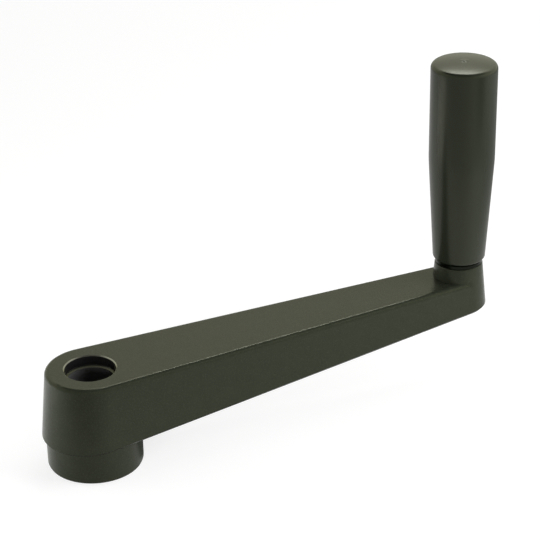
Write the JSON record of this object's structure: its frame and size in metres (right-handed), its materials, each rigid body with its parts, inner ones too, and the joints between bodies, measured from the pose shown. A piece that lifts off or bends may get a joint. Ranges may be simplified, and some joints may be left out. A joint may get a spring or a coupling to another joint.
{
  "type": "revolving machine handle",
  "caption": "Cast crank arm with a bored hub at one end and a free-spinning closed grip standing on the other, for turning a machine shaft by hand.",
  "frame": {"origin": "on the hub axis, in the flat face under the hub's foot, where the shaft enters the bore", "axes": "+Z along the hub axis towards the grip's side, +X along the arm from the hub to the grip"},
  "size_m": [0.1504, 0.0304, 0.1029],
  "materials": {
    "coated_casting": "fine textured plastic coating on cast aluminium, matt dark olive grey",
    "black_steel": "turned steel, blackened and oiled",
    "spring_steel": "bright flat spring wire",
    "moulded_grip": "moulded plastic, semi-matt dark olive grey"
  },
  "bodies": {
    "crank": {"crank_arm": "coated_casting", "spindle": "black_steel", "snap_ring": "spring_steel"},
    "turning_grip": {"grip": "moulded_grip"}
  },
  "joints": [
    {"name": "grip_spin", "type": "hinge", "parent": "crank", "child": "turning_grip", "pos_m": [0.125, 0, 0.03735], "axis": [0, 0, 1], "continuous": true}
  ]
}
